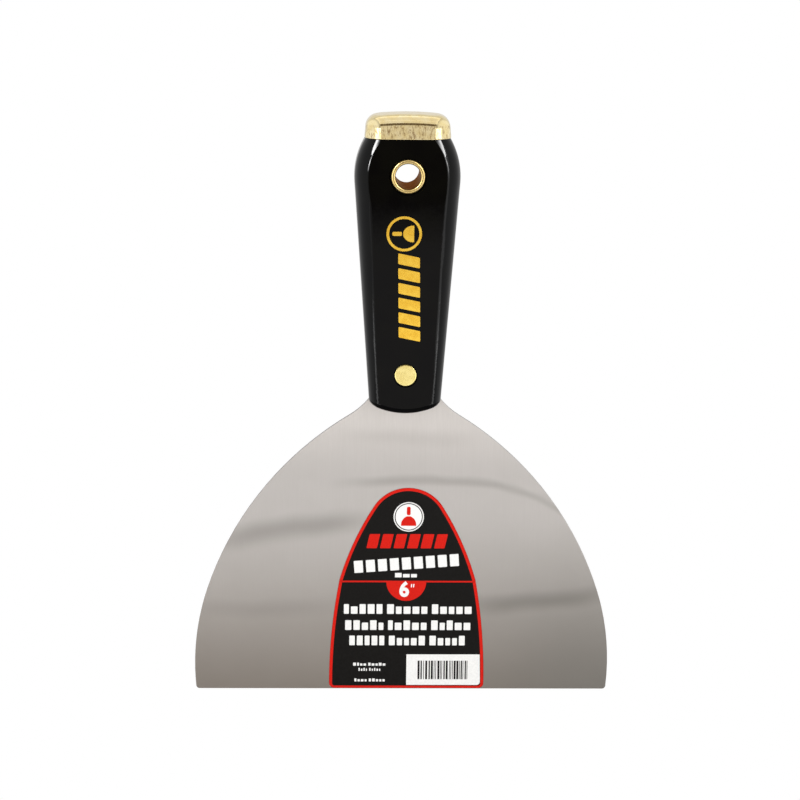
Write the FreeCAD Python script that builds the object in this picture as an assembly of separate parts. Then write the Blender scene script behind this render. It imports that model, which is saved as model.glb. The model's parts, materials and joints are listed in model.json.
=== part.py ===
import FreeCAD, Part
import math
import os

# Drywall taping knife, 6 in wide, about 215 mm long, in millimetres.
# +Z runs up from the working edge to the hammer cap, X is across the blade, and the front,
# with the label and the printed side of the handle, faces -Y.
# The origin is the middle of the working edge.

# Blade: one piece of spring steel with a full tang.
STEEL_THICKNESS = 1.2
EDGE_THICKNESS = 0.5
GRIND_HEIGHT = 88.0
BLADE_HALF_WIDTH = 76.7
WIDEST_HEIGHT = 10.0
FAN_LOWER_RADIUS = 90.4
FAN_LOWER_ANGLE = 17.9
FAN_UPPER_RADIUS = 121.8
FAN_UPPER_ANGLE = 58.5
NECK_RADIUS = 27.0
EDGE_CORNER_RADIUS = 1.3
TANG_FLARE_ANGLE = 3.2
TANG_TOP = 211.0
TONGUE_HALF_WIDTH = 6.0
TONGUE_TOP = 213.4

# Handle: two moulded scales that clamp the tang.
HANDLE_MOUTH_BOTTOM = 105.8
HANDLE_MOUTH_CORNER = 109.3
HANDLE_TOP = 206.4
HANDLE_SECTION_HEIGHTS = (99.8, 112.0, 125.0, 140.0, 155.0, 170.0, 181.0, 187.0, 192.0, 197.0, 201.0,
                          204.0, HANDLE_TOP)
HANDLE_HALF_WIDTH = 19.17
HANDLE_WIDEST_HEIGHT = 192.4
SHOULDER_RADIUS = 27.5
HANDLE_TAPER = 0.0746
HANDLE_HALF_THICKNESS = 10.0
HANDLE_THICKEST_HEIGHT = 190.0
FACE_RADIUS = 103.0
FACE_TAPER = 0.04
SIDE_BAND_MOUTH = 2.9
SIDE_BAND_GRIP = 4.9
SIDE_BAND_TOP = 6.0
SIDE_BAND_GRIP_HEIGHT = 165.0
SIDE_BAND_SPREAD_HEIGHT = 196.0
SIDE_DEPTH_RATIO = 0.78
CREASE_RADIUS_MOUTH = 3.4
CREASE_RADIUS_TOP = 1.7
MOUTH_FILLET = 2.0
SEAM_HALF_WIDTH = 0.16
SEAM_DEPTH = 0.22
TANG_CLEARANCE = 0.2

# Locating pins moulded into the front scale, outboard of the tang.
PIN_RADIUS = 1.5
PIN_LENGTH = 2.4
PIN_PLACES = ((12.0, 146.0), (14.0, 176.0))
SOCKET_CLEARANCE = 0.1
SOCKET_END_CLEARANCE = 0.4

# Spigot that carries the hammer cap.
SPIGOT_HALF_WIDTH = 12.8
SPIGOT_HALF_DEPTH = 6.2
SPIGOT_CORNER_RADIUS = 4.0
SPIGOT_TOP = 211.0
SPIGOT_CLEARANCE = 0.15

# Hammer cap.
CAP_HALF_WIDTH = 15.6
CAP_HALF_DEPTH = 8.8
CAP_CORNER_RADIUS = 7.0
CAP_TOP = 215.3
CAP_SIDE_DRAFT = 0.09
CAP_FRONT_DRAFT = 0.02
CAP_TOP_FILLET = 4.6
CAP_RIM_FILLET = 0.35
CAP_DOME_RADIUS = 115.0
CAP_BLANK_ALLOWANCE = 2.0

# Rivet near the mouth: a solid post pressed into a tubular socket.
RIVET_HEIGHT = 120.2
RIVET_HEAD_RADIUS = 4.15
RIVET_HEAD_THICKNESS = 0.9
RIVET_HEAD_EDGE = 0.5
RIVET_HEAD_SINK = 0.45
RIVET_COUNTERBORE_RADIUS = 4.45
RIVET_POST_RADIUS = 2.0
RIVET_SOCKET_RADIUS = 2.8
RIVET_SOCKET_REACH = 4.2
RIVET_END_CLEARANCE = 0.2

# Eyelet that lines the hang hole.
HOLE_HEIGHT = 193.3
EYELET_BORE_RADIUS = 4.6
EYELET_WALL = 0.6
EYELET_FLANGE_RADIUS = 6.1
EYELET_FLANGE_THICKNESS = 1.0
EYELET_FLANGE_EDGE = 0.6
EYELET_CURL_RADIUS = 5.9
EYELET_CURL_THICKNESS = 0.8
EYELET_CURL_EDGE = 0.4
EYELET_PROUD = 0.3
WASHER_RADIUS = 6.4
WASHER_THICKNESS = 0.5
DIMPLE_RADIUS = 7.0
DIMPLE_FLOOR_RADIUS = 6.5

# Label on the front of the blade.
LABEL_CENTRE = 1.85
LABEL_BOTTOM = 0.2
LABEL_TOP = 76.8
LABEL_THICKNESS = 0.12
LABEL_CORNER_RADIUS = 2.0
LABEL_APEX_END = (12.6, 69.9)
LABEL_FLANK_MIDDLE = (19.6, 57.0)
LABEL_FLANK_END = (25.2, 41.8)
LABEL_SIDE_MIDDLE = (27.5, 26.4)
LABEL_HALF_WIDTH = 28.75

# How far cutting shapes reach past the part, how far joined shapes run into each other, and how
# closely an edge must lie at a height to be picked.
MARGIN = 50.0
OVERLAP = 1.0
TOLERANCE = 0.01


def point(x, z):
    return FreeCAD.Vector(x, 0, z)


def polar(centre, radius, degrees):
    """Point in the XZ plane at an angle from +X."""
    turn = math.radians(degrees)
    return centre + FreeCAD.Vector(radius * math.cos(turn), 0, radius * math.sin(turn))


def line(start, end):
    return Part.LineSegment(start, end).toShape()


def arc(start, middle, end):
    return Part.Arc(start, middle, end).toShape()


def mirrored(edges):
    """The same edges on the other side of the YZ plane."""
    return [edge.mirror(FreeCAD.Vector(0, 0, 0), FreeCAD.Vector(1, 0, 0)) for edge in edges]


def closed_wire(edges):
    return Part.Wire(Part.__sortEdges__(edges))


def prism_along_y(edges, low=-MARGIN, high=MARGIN):
    """Solid between y = low and y = high over an outline drawn in the XZ plane."""
    face = Part.Face(closed_wire(edges))
    face.translate(FreeCAD.Vector(0, low, 0))
    return face.extrude(FreeCAD.Vector(0, high - low, 0))


def prism_along_x(corners):
    """Solid across the whole width over a polygon given as (y, z) corners."""
    loop = [FreeCAD.Vector(-2 * MARGIN, y, z) for y, z in corners + corners[:1]]
    face = Part.Face(Part.makePolygon(loop))
    return face.extrude(FreeCAD.Vector(4 * MARGIN, 0, 0))


def box(x, y, z):
    """Box between pairs of limits."""
    corner = FreeCAD.Vector(x[0], y[0], z[0])
    return Part.makeBox(x[1] - x[0], y[1] - y[0], z[1] - z[0], corner)


def cylinder_along_y(radius, start, end, x, z):
    base = FreeCAD.Vector(x, start, z)
    return Part.makeCylinder(radius, end - start, base, FreeCAD.Vector(0, 1, 0))


def turned_along_y(profile, z):
    """Solid turned about the line x = 0 at height z from a list of (radius, y) points."""
    loop = [FreeCAD.Vector(radius, y, z) for radius, y in profile + profile[:1]]
    face = Part.Face(Part.makePolygon(loop))
    return face.revolve(FreeCAD.Vector(0, 0, z), FreeCAD.Vector(0, 1, 0), 360)


def rounded_rectangle(half_width, half_depth, radius, z):
    """Wire in the plane at height z, with round corners."""
    edges = []
    for sx, sy in ((1, 1), (-1, 1), (-1, -1), (1, -1)):
        centre = FreeCAD.Vector(sx * (half_width - radius), sy * (half_depth - radius), z)
        side = centre + FreeCAD.Vector(sx * radius, 0, 0)
        end = centre + FreeCAD.Vector(0, sy * radius, 0)
        diagonal = radius * math.sqrt(0.5)
        middle = centre + FreeCAD.Vector(sx * diagonal, sy * diagonal, 0)
        edges.append(arc(side, middle, end))
    flat_x = half_width - radius
    flat_y = half_depth - radius
    for sign in (1, -1):
        edges.append(line(FreeCAD.Vector(-flat_x, sign * half_depth, z),
                          FreeCAD.Vector(flat_x, sign * half_depth, z)))
        edges.append(line(FreeCAD.Vector(sign * half_width, -flat_y, z),
                          FreeCAD.Vector(sign * half_width, flat_y, z)))
    return closed_wire(edges)


# ---------------------------------------------------------------- blade

def blade_outline(grow=0.0):
    """Fan, concave neck and flared tang, as tangent arcs, with an even growth all round."""
    lower_radius = FAN_LOWER_RADIUS + grow
    upper_radius = FAN_UPPER_RADIUS + grow
    neck_radius = NECK_RADIUS - grow
    lower_centre = point(BLADE_HALF_WIDTH - FAN_LOWER_RADIUS, WIDEST_HEIGHT)
    upper_centre = polar(lower_centre, FAN_LOWER_RADIUS - FAN_UPPER_RADIUS, FAN_LOWER_ANGLE)
    neck_centre = polar(upper_centre, FAN_UPPER_RADIUS + NECK_RADIUS, FAN_UPPER_ANGLE)

    start_angle = -math.degrees(math.asin((WIDEST_HEIGHT + grow) / lower_radius))
    edge_corner = polar(lower_centre, lower_radius, start_angle)
    lower_middle = polar(lower_centre, lower_radius, (start_angle + FAN_LOWER_ANGLE) / 2)
    lower_end = polar(lower_centre, lower_radius, FAN_LOWER_ANGLE)
    upper_middle = polar(upper_centre, upper_radius, (FAN_LOWER_ANGLE + FAN_UPPER_ANGLE) / 2)
    upper_end = polar(upper_centre, upper_radius, FAN_UPPER_ANGLE)
    neck_start_angle = 180 + FAN_UPPER_ANGLE
    neck_end_angle = 180 - TANG_FLARE_ANGLE
    neck_middle = polar(neck_centre, neck_radius, (neck_start_angle + neck_end_angle) / 2)
    neck_end = polar(neck_centre, neck_radius, neck_end_angle)

    flare = math.tan(math.radians(TANG_FLARE_ANGLE))
    tang_corner = point(neck_end.x + (TANG_TOP - neck_end.z) * flare, TANG_TOP)
    side = [arc(edge_corner, lower_middle, lower_end),
            arc(lower_end, upper_middle, upper_end),
            arc(upper_end, neck_middle, neck_end),
            line(neck_end, tang_corner)]
    bottom = line(point(-edge_corner.x, edge_corner.z), edge_corner)
    top = line(tang_corner, point(-tang_corner.x, TANG_TOP))
    return side + mirrored(side) + [bottom, top]


def half_steel_thickness(z):
    ground = EDGE_THICKNESS + (STEEL_THICKNESS - EDGE_THICKNESS) * z / GRIND_HEIGHT
    return min(ground, STEEL_THICKNESS) / 2


def make_blade():
    """Taper-ground fan with the tang, its tongue, and the rivet and hang holes."""
    sheet = prism_along_y(blade_outline())
    corners = [edge for edge in sheet.Edges
               if abs(edge.BoundBox.ZMax) < TOLERANCE and edge.BoundBox.XLength < TOLERANCE]
    sheet = sheet.makeFillet(EDGE_CORNER_RADIUS, corners)
    tongue = box((-TONGUE_HALF_WIDTH, TONGUE_HALF_WIDTH), (-MARGIN, MARGIN),
                 (TANG_TOP - OVERLAP, TONGUE_TOP))
    half_edge = EDGE_THICKNESS / 2
    half_full = STEEL_THICKNESS / 2
    section = [(-half_edge, 0.0), (-half_full, GRIND_HEIGHT), (-half_full, TONGUE_TOP),
               (half_full, TONGUE_TOP), (half_full, GRIND_HEIGHT), (half_edge, 0.0)]
    blade = sheet.fuse(tongue).common(prism_along_x(section))
    rivet_hole = cylinder_along_y(RIVET_SOCKET_RADIUS + TANG_CLEARANCE, -MARGIN, MARGIN, 0, RIVET_HEIGHT)
    eyelet_hole = cylinder_along_y(EYELET_BORE_RADIUS + EYELET_WALL + TANG_CLEARANCE,
                                   -MARGIN, MARGIN, 0, HOLE_HEIGHT)
    return blade.cut(rivet_hole).cut(eyelet_hole).removeSplitter()


# ---------------------------------------------------------------- handle

def handle_half_width(z):
    """Straight taper that runs into the round shoulder."""
    centre_x = HANDLE_HALF_WIDTH - SHOULDER_RADIUS
    slope_angle = math.atan(HANDLE_TAPER)
    joint_z = HANDLE_WIDEST_HEIGHT - SHOULDER_RADIUS * math.sin(slope_angle)
    joint_x = centre_x + SHOULDER_RADIUS * math.cos(slope_angle)
    if z < joint_z:
        return joint_x - HANDLE_TAPER * (joint_z - z)
    return centre_x + math.sqrt(SHOULDER_RADIUS ** 2 - (z - HANDLE_WIDEST_HEIGHT) ** 2)


def handle_half_thickness(z):
    """Straight taper that runs into the crowned face below the cap."""
    centre_y = HANDLE_HALF_THICKNESS - FACE_RADIUS
    slope_angle = math.atan(FACE_TAPER)
    joint_z = HANDLE_THICKEST_HEIGHT - FACE_RADIUS * math.sin(slope_angle)
    joint_y = centre_y + FACE_RADIUS * math.cos(slope_angle)
    if z < joint_z:
        return joint_y - FACE_TAPER * (joint_z - z)
    return centre_y + math.sqrt(FACE_RADIUS ** 2 - (z - HANDLE_THICKEST_HEIGHT) ** 2)


def side_band(z):
    """Width of the rounded side, seen from the front: narrow at the mouth, spreading below the cap."""
    rise = (z - HANDLE_MOUTH_BOTTOM) / (SIDE_BAND_GRIP_HEIGHT - HANDLE_MOUTH_BOTTOM)
    spread = (z - SIDE_BAND_SPREAD_HEIGHT) / (HANDLE_TOP - SIDE_BAND_SPREAD_HEIGHT)
    band = SIDE_BAND_MOUTH + (SIDE_BAND_GRIP - SIDE_BAND_MOUTH) * max(0.0, min(1.0, rise))
    return band + (SIDE_BAND_TOP - SIDE_BAND_GRIP) * max(0.0, spread) ** 2


def crease_radius(z):
    """Radius between the flat panel and the rounded side, crisper towards the cap."""
    rise = max(0.0, (z - HANDLE_MOUTH_BOTTOM) / (HANDLE_TOP - HANDLE_MOUTH_BOTTOM))
    return CREASE_RADIUS_MOUTH + (CREASE_RADIUS_TOP - CREASE_RADIUS_MOUTH) * rise


def handle_section(z):
    """Flat front and back panels, soft creases, rounded sides and a short flat at the parting line."""
    width = handle_half_width(z)
    thickness = handle_half_thickness(z)
    band = side_band(z)
    depth = SIDE_DEPTH_RATIO * thickness
    side_radius = (band ** 2 + depth ** 2) / (2 * band)
    side_y = thickness - depth
    centre = (width - side_radius, side_y)
    soft = crease_radius(z)
    crease_y = thickness - soft
    crease_x = centre[0] + math.sqrt((side_radius - soft) ** 2 - (crease_y - side_y) ** 2)
    join_angle = math.atan2(crease_y - side_y, crease_x - centre[0])

    def at(origin, radius, angle):
        return origin[0] + radius * math.cos(angle), origin[1] + radius * math.sin(angle)

    crease = (crease_x, crease_y)
    quarter = [(crease_x, thickness),
               at(crease, soft, (join_angle + math.pi / 2) / 2),
               at(centre, side_radius, join_angle),
               at(centre, side_radius, join_angle / 2),
               (width, side_y)]

    def corner(sx, sy):
        return [FreeCAD.Vector(sx * x, sy * y, z) for x, y in quarter]

    right_back = corner(1, 1)
    left_back = corner(-1, 1)
    left_front = corner(-1, -1)
    right_front = corner(1, -1)
    edges = []
    for near, far, link in ((right_front, right_back, 4), (right_back, left_back, 0),
                            (left_back, left_front, 4), (left_front, right_front, 0)):
        if link == 4:
            edges.append(arc(near[0], near[1], near[2]))
            edges.append(arc(near[2], near[3], near[4]))
        else:
            edges.append(arc(near[4], near[3], near[2]))
            edges.append(arc(near[2], near[1], near[0]))
        edges.append(line(near[link], far[link]))
    return Part.Wire(edges)


def handle_side_outline(inset, low, high):
    """Front outline of the handle, drawn inside its sides by an inset."""
    slope_angle = math.atan(HANDLE_TAPER)
    centre = point(HANDLE_HALF_WIDTH - SHOULDER_RADIUS, HANDLE_WIDEST_HEIGHT)
    radius = SHOULDER_RADIUS - inset
    joint = polar(centre, radius, -math.degrees(slope_angle))
    top_angle = math.degrees(math.asin((high - HANDLE_WIDEST_HEIGHT) / radius))
    top = polar(centre, radius, top_angle)
    low_point = point(joint.x - HANDLE_TAPER * (joint.z - low), low)
    side = [line(low_point, joint), arc(joint, polar(centre, radius, top_angle / 2), top)]
    ends = [line(point(-low_point.x, low), low_point), line(top, point(-top.x, high))]
    return side + mirrored(side) + ends


def handle_mouth_cutter():
    """Everything below the handle's curved mouth."""
    corner_x = handle_half_width(HANDLE_MOUTH_CORNER)
    rise = HANDLE_MOUTH_CORNER - HANDLE_MOUTH_BOTTOM
    radius = (corner_x ** 2 + rise ** 2) / (2 * rise)
    centre = point(0, HANDLE_MOUTH_BOTTOM + radius)
    spread = math.degrees(math.asin(HANDLE_HALF_WIDTH / radius))
    right_end = polar(centre, radius, -90 + spread)
    left_end = point(-right_end.x, right_end.z)
    floor = HANDLE_MOUTH_BOTTOM - MARGIN
    edges = [arc(left_end, polar(centre, radius, -90), right_end),
             line(right_end, point(right_end.x, floor)),
             line(point(right_end.x, floor), point(left_end.x, floor)),
             line(point(left_end.x, floor), left_end)]
    return prism_along_y(edges)


def handle_body():
    """Both scales in one, before they are split along the parting plane."""
    body = Part.makeLoft([handle_section(z) for z in HANDLE_SECTION_HEIGHTS], True, False)
    body = body.cut(handle_mouth_cutter())
    mouth_edges = [edge for edge in body.Edges
                   if edge.BoundBox.ZMax < HANDLE_MOUTH_CORNER + MOUTH_FILLET]
    return body.makeFillet(MOUTH_FILLET, mouth_edges)


def seam_groove():
    """Shallow groove along both sides of the handle, where the scales meet."""
    slab = box((-MARGIN, MARGIN), (-SEAM_HALF_WIDTH, SEAM_HALF_WIDTH), (HANDLE_MOUTH_BOTTOM, HANDLE_TOP))
    core = prism_along_y(handle_side_outline(SEAM_DEPTH, HANDLE_MOUTH_BOTTOM, HANDLE_TOP))
    return slab.cut(core)


def spigot(grow, low, high):
    outline = rounded_rectangle(SPIGOT_HALF_WIDTH + grow, SPIGOT_HALF_DEPTH + grow,
                                SPIGOT_CORNER_RADIUS + grow, low)
    return Part.Face(outline).extrude(FreeCAD.Vector(0, 0, high - low))


def rivet_cutter():
    """Counterbores for both heads, a bore for the socket and a narrow one for the post."""
    surface = handle_half_thickness(RIVET_HEIGHT)
    floor = surface - RIVET_HEAD_SINK - RIVET_HEAD_THICKNESS
    counterbores = [cylinder_along_y(RIVET_COUNTERBORE_RADIUS, low, high, 0, RIVET_HEIGHT)
                    for low, high in ((-surface - OVERLAP, -floor), (floor, surface + OVERLAP))]
    bore = cylinder_along_y(RIVET_SOCKET_RADIUS, -RIVET_SOCKET_REACH, floor, 0, RIVET_HEIGHT)
    narrow = cylinder_along_y(RIVET_POST_RADIUS, -floor, 0, 0, RIVET_HEIGHT)
    return bore.fuse(counterbores + [narrow])


def dimple(floor_y):
    """Conical recess around the hang hole, with its floor at the given y."""
    surface = math.copysign(handle_half_thickness(HOLE_HEIGHT), floor_y)
    outside = math.copysign(abs(surface) + OVERLAP, floor_y)
    profile = [(0, floor_y), (DIMPLE_FLOOR_RADIUS, floor_y), (DIMPLE_RADIUS, surface),
               (DIMPLE_RADIUS + OVERLAP, outside), (0, outside)]
    return turned_along_y(profile, HOLE_HEIGHT)


def eyelet_cutter():
    bore = cylinder_along_y(EYELET_BORE_RADIUS + EYELET_WALL, -MARGIN, MARGIN, 0, HOLE_HEIGHT)
    return bore.fuse([dimple(eyelet_front_floor()), dimple(eyelet_back_floor())])


def eyelet_front_floor():
    return -handle_half_thickness(HOLE_HEIGHT) + EYELET_FLANGE_THICKNESS - EYELET_PROUD


def eyelet_back_floor():
    return handle_half_thickness(HOLE_HEIGHT) - WASHER_THICKNESS - EYELET_CURL_THICKNESS + EYELET_PROUD


def locating_pins(radius, start, end):
    places = [(side * x, z) for x, z in PIN_PLACES for side in (-1, 1)]
    return [cylinder_along_y(radius, start, end, x, z) for x, z in places]


def make_scales():
    """Front and back handle halves, with the tang pocket shared between them."""
    body = handle_body().fuse(spigot(0.0, HANDLE_TOP - OVERLAP, SPIGOT_TOP))
    body = body.cut([seam_groove(), rivet_cutter(), eyelet_cutter()])
    half_tang = STEEL_THICKNESS / 2
    pocket = prism_along_y(blade_outline(TANG_CLEARANCE), -half_tang, half_tang)
    body = body.cut(pocket)
    front_half = box((-MARGIN, MARGIN), (-MARGIN, 0), (0, TANG_TOP + MARGIN))
    back_half = box((-MARGIN, MARGIN), (0, MARGIN), (0, TANG_TOP + MARGIN))
    front = body.common(front_half).fuse(locating_pins(PIN_RADIUS, -OVERLAP, PIN_LENGTH))
    sockets = locating_pins(PIN_RADIUS + SOCKET_CLEARANCE, -OVERLAP, PIN_LENGTH + SOCKET_END_CLEARANCE)
    back = body.common(back_half).cut(sockets)
    return front.removeSplitter(), back.removeSplitter()


# ---------------------------------------------------------------- rivet and eyelet

def round_edges(shape, radius, y):
    """Fillet on the circular edges that lie in the plane at the given y."""
    edges = [edge for edge in shape.Edges
             if abs(edge.BoundBox.YMin - y) < TOLERANCE and abs(edge.BoundBox.YMax - y) < TOLERANCE]
    return shape.makeFillet(radius, edges)


def make_rivet_post():
    """Front head with a solid shank that is pressed into the socket."""
    surface = handle_half_thickness(RIVET_HEIGHT)
    face = -surface + RIVET_HEAD_SINK
    head = cylinder_along_y(RIVET_HEAD_RADIUS, face, face + RIVET_HEAD_THICKNESS, 0, RIVET_HEIGHT)
    head = round_edges(head, RIVET_HEAD_EDGE, face)
    shank = cylinder_along_y(RIVET_POST_RADIUS, face + RIVET_HEAD_THICKNESS / 2,
                             RIVET_SOCKET_REACH - RIVET_END_CLEARANCE, 0, RIVET_HEIGHT)
    return head.fuse(shank).removeSplitter()


def make_rivet_socket():
    """Back head with a tubular shank that reaches through the tang."""
    surface = handle_half_thickness(RIVET_HEIGHT)
    face = surface - RIVET_HEAD_SINK
    head = cylinder_along_y(RIVET_HEAD_RADIUS, face - RIVET_HEAD_THICKNESS, face, 0, RIVET_HEIGHT)
    head = round_edges(head, RIVET_HEAD_EDGE, face)
    tube = cylinder_along_y(RIVET_SOCKET_RADIUS, -RIVET_SOCKET_REACH, face - RIVET_HEAD_THICKNESS / 2,
                            0, RIVET_HEIGHT)
    bore = cylinder_along_y(RIVET_POST_RADIUS, -MARGIN, RIVET_SOCKET_REACH, 0, RIVET_HEIGHT)
    return head.fuse(tube).removeSplitter().cut(bore)


def make_eyelet_barrel():
    """Tube that lines the hang hole, with a rolled front flange and a curl at the back."""
    bore = EYELET_BORE_RADIUS
    outer = bore + EYELET_WALL
    front_floor = eyelet_front_floor()
    front_face = front_floor - EYELET_FLANGE_THICKNESS
    curl_foot = eyelet_back_floor() + WASHER_THICKNESS
    back_face = curl_foot + EYELET_CURL_THICKNESS
    profile = [(bore, front_face), (EYELET_FLANGE_RADIUS, front_face), (EYELET_FLANGE_RADIUS, front_floor),
               (outer, front_floor), (outer, curl_foot), (EYELET_CURL_RADIUS, curl_foot),
               (EYELET_CURL_RADIUS, back_face), (bore, back_face)]
    barrel = turned_along_y(profile, HOLE_HEIGHT)
    barrel = round_edges(barrel, EYELET_FLANGE_EDGE, front_face)
    return round_edges(barrel, EYELET_CURL_EDGE, back_face)


def make_eyelet_washer():
    floor = eyelet_back_floor()
    washer = cylinder_along_y(WASHER_RADIUS, floor, floor + WASHER_THICKNESS, 0, HOLE_HEIGHT)
    return washer.cut(cylinder_along_y(EYELET_BORE_RADIUS + EYELET_WALL, -MARGIN, MARGIN, 0, HOLE_HEIGHT))


# ---------------------------------------------------------------- hammer cap

def make_hammer_cap():
    """Drafted block with a domed striking face, hollow for the spigot and slotted for the tongue."""
    blank_top = CAP_TOP + CAP_BLANK_ALLOWANCE
    side_inset = CAP_SIDE_DRAFT * (blank_top - HANDLE_TOP)
    front_inset = CAP_FRONT_DRAFT * (blank_top - HANDLE_TOP)
    rim = rounded_rectangle(CAP_HALF_WIDTH, CAP_HALF_DEPTH, CAP_CORNER_RADIUS, HANDLE_TOP)
    crown = rounded_rectangle(CAP_HALF_WIDTH - side_inset, CAP_HALF_DEPTH - front_inset,
                              CAP_CORNER_RADIUS - side_inset, blank_top)
    cap = Part.makeLoft([rim, crown], True, True)
    dome = Part.makeSphere(CAP_DOME_RADIUS, FreeCAD.Vector(0, 0, CAP_TOP - CAP_DOME_RADIUS))
    cap = cap.common(dome)
    top_edges = [edge for edge in cap.Edges if edge.BoundBox.ZMin > HANDLE_TOP + CAP_TOP_FILLET]
    cap = cap.makeFillet(CAP_TOP_FILLET, top_edges)
    rim_edges = [edge for edge in cap.Edges if edge.BoundBox.ZMax < HANDLE_TOP + TOLERANCE]
    cap = cap.makeFillet(CAP_RIM_FILLET, rim_edges)
    pocket = spigot(SPIGOT_CLEARANCE, HANDLE_TOP - OVERLAP, SPIGOT_TOP + SPIGOT_CLEARANCE)
    half_tang = STEEL_THICKNESS / 2
    slot = box((-TONGUE_HALF_WIDTH, TONGUE_HALF_WIDTH), (-half_tang, half_tang),
               (HANDLE_TOP, TONGUE_TOP + SPIGOT_CLEARANCE))
    return cap.cut([pocket, slot])


# ---------------------------------------------------------------- label

def make_label():
    """Adhesive label, arched at the top, lying on the ground front face of the blade."""
    apex_end = point(*LABEL_APEX_END)
    flank_end = point(*LABEL_FLANK_END)
    bottom_corner = point(LABEL_HALF_WIDTH, LABEL_BOTTOM)
    side = [arc(apex_end, point(*LABEL_FLANK_MIDDLE), flank_end),
            arc(flank_end, point(*LABEL_SIDE_MIDDLE), bottom_corner)]
    apex = arc(apex_end, point(0, LABEL_TOP), point(-apex_end.x, apex_end.z))
    bottom = line(point(-bottom_corner.x, LABEL_BOTTOM), bottom_corner)
    sheet = prism_along_y(side + mirrored(side) + [apex, bottom])
    corners = [edge for edge in sheet.Edges
               if edge.BoundBox.ZMax < LABEL_BOTTOM + TOLERANCE and edge.BoundBox.XLength < TOLERANCE]
    sheet = sheet.makeFillet(LABEL_CORNER_RADIUS, corners)
    sheet.translate(FreeCAD.Vector(LABEL_CENTRE, 0, 0))
    foot = -half_steel_thickness(0)
    head = -half_steel_thickness(GRIND_HEIGHT)
    slab = [(foot, 0), (foot - LABEL_THICKNESS, 0), (head - LABEL_THICKNESS, GRIND_HEIGHT),
            (head, GRIND_HEIGHT)]
    return sheet.common(prism_along_x(slab))


def main():
    os.makedirs("parts", exist_ok=True)
    front_scale, back_scale = make_scales()
    nodes = {
        "blade": make_blade(),
        "front_scale": front_scale,
        "back_scale": back_scale,
        "rivet_post": make_rivet_post(),
        "rivet_socket": make_rivet_socket(),
        "eyelet_barrel": make_eyelet_barrel(),
        "eyelet_washer": make_eyelet_washer(),
        "hammer_cap": make_hammer_cap(),
        "label": make_label(),
    }
    for name, shape in nodes.items():
        solid = shape.Solids[0]
        print(name, len(shape.Solids), "solid", shape.isValid(), round(shape.Volume, 1), "mm3")
        solid.exportStep("parts/" + name + ".step")


main()
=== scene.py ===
import json
import math
import random
from collections import namedtuple

import bpy
import bmesh
from mathutils import Matrix, Vector
from mathutils.geometry import tessellate_polygon


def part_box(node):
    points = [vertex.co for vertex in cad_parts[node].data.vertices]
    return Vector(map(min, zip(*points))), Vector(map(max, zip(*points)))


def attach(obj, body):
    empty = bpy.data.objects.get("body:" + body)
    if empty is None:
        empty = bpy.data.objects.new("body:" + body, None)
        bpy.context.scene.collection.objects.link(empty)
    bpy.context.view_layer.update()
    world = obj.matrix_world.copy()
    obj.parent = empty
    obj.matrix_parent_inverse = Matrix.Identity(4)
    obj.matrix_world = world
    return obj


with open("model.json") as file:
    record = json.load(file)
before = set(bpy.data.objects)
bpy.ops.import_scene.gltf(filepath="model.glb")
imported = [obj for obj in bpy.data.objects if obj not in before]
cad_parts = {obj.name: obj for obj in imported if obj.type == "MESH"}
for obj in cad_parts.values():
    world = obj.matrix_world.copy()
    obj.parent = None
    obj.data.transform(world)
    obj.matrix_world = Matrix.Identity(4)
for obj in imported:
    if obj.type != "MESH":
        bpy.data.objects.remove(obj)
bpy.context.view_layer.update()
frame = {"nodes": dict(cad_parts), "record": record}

# Drywall taping knife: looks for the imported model, in the model's own frame: +Z up from the working edge
# to the hammer cap, the front faces -Y. Objects, lamps and the camera are in metres. Outlines, prints and
# materials count in millimetres, and MM turns those into metres.
MM = 0.001
NODES = frame["nodes"]
BODY = "root"
random.seed(6)


# ---------------------------------------------------------------- node graph helpers

class Graph:
    """A node tree, with sockets passed as inputs so that it reads like a formula."""

    def __init__(self, tree):
        self.tree = tree

    def add(self, kind, inputs=None, **settings):
        node = self.tree.nodes.new(kind)
        for key, value in settings.items():
            setattr(node, key, value)
        for key, value in (inputs or {}).items():
            self.feed(node.inputs[key], value)
        return node

    def feed(self, socket, value):
        if isinstance(value, bpy.types.NodeSocket):
            self.tree.links.new(value, socket)
        else:
            socket.default_value = value

    def math(self, operation, a, b=0.0):
        return self.add("ShaderNodeMath", {0: a, 1: b}, operation=operation).outputs[0]

    def axes(self, vector):
        """The x, y and z outputs of a vector."""
        return self.add("ShaderNodeSeparateXYZ", {0: vector}).outputs

    def millimetres(self):
        """Position in the model's frame, in millimetres."""
        place = self.add("ShaderNodeTexCoord").outputs["Object"]
        return self.add("ShaderNodeVectorMath", {0: place, 1: (1000, 1000, 1000)},
                        operation="MULTIPLY").outputs[0]

    def stretched(self, place, x, y, z):
        return self.add("ShaderNodeVectorMath", {0: place, 1: (x, y, z)}, operation="MULTIPLY").outputs[0]

    def noise(self, place, scale=1.0, detail=3.0, roughness=0.5, distortion=0.0):
        return self.add("ShaderNodeTexNoise", {"Vector": place, "Scale": scale, "Detail": detail,
                                               "Roughness": roughness, "Distortion": distortion}).outputs[0]

    def ramp(self, value, low, high, start=0.0, end=1.0):
        """Smooth step of value from low to high, mapped to start..end."""
        return self.add("ShaderNodeMapRange", {0: value, 1: low, 2: high, 3: start, 4: end},
                        interpolation_type="SMOOTHSTEP").outputs[0]

    def blend(self, factor, first, second):
        """Colour that goes from first at a factor of 0 to second at 1."""
        node = self.add("ShaderNodeMix", data_type="RGBA")
        self.feed(node.inputs[0], factor)
        self.feed(node.inputs[6], first)
        self.feed(node.inputs[7], second)
        return node.outputs[2]

    def bump(self, height, distance, strength=1.0, normal=None):
        inputs = {"Height": height, "Distance": distance, "Strength": strength}
        if normal is not None:
            inputs["Normal"] = normal
        return self.add("ShaderNodeBump", inputs).outputs[0]


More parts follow.
